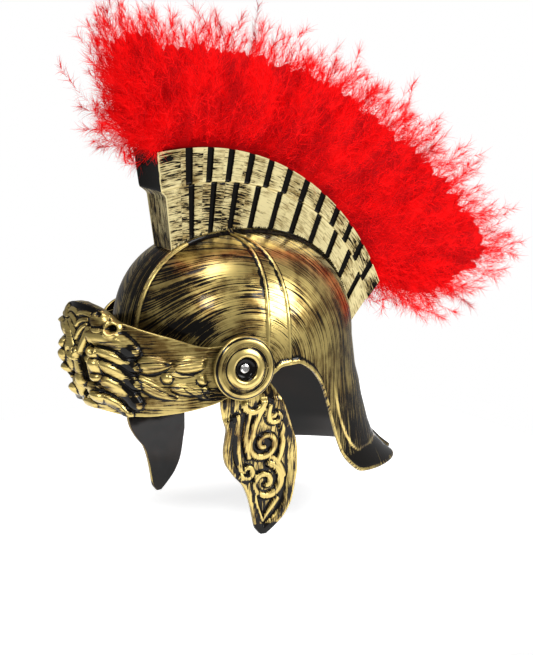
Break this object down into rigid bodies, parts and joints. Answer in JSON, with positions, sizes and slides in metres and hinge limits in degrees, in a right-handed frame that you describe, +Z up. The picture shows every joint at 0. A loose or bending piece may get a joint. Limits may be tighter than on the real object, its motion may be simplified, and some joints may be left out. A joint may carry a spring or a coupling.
{
  "type": "costume helmet",
  "caption": "Crested Roman style helmet with a flared neck guard, a tilting lion mask visor, hinged cheek guards and a tall fan of feathers.",
  "frame": {"origin": "inside of the crown, on the middle plane, where the head carries the helmet", "axes": "+Z up, -Y towards the face and the visor, +X towards the wearer's left"},
  "size_m": [0.227, 0.5251, 0.4851],
  "materials": {
    "skull_bowl": "gold brushed over gloss black, moulded",
    "crest_holder": "pale gold brushed over gloss black, moulded",
    "feather_plume": "dyed feather barbs, fluffy and matte",
    "visor_band": "gold brushed over gloss black relief",
    "cheek_guard_left": "gold brushed over gloss black relief",
    "cheek_guard_right": "gold brushed over gloss black relief",
    "rosette_left": "gold brushed over gloss black, domed",
    "rosette_right": "gold brushed over gloss black, domed",
    "rivet_left": "bright domed head",
    "rivet_right": "bright domed head"
  },
  "bodies": {
    "shell": {"skull_bowl": "skull_bowl", "crest_holder": "crest_holder", "feather_plume": "feather_plume", "rosette_left": "rosette_left", "rosette_right": "rosette_right", "rivet_left": "rivet_left", "rivet_right": "rivet_right"},
    "visor": {"visor_band": "visor_band"},
    "cheek_left": {"cheek_guard_left": "cheek_guard_left"},
    "cheek_right": {"cheek_guard_right": "cheek_guard_right"}
  },
  "joints": [
    {"name": "visor_tilt", "type": "hinge", "parent": "shell", "child": "visor", "pos_m": [0, -0.04292, -0.104], "axis": [-1, 0, 0], "range_deg": [-5, 30]},
    {"name": "cheek_left_swing", "type": "hinge", "parent": "shell", "child": "cheek_left", "pos_m": [0.0944, -0.042, -0.104], "axis": [0.9848, -0.1736, 0], "range_deg": [-7, 20]},
    {"name": "cheek_right_swing", "type": "hinge", "parent": "shell", "child": "cheek_right", "pos_m": [-0.0944, -0.042, -0.104], "axis": [0.9848, 0.1736, 0], "range_deg": [-7, 20]}
  ]
}
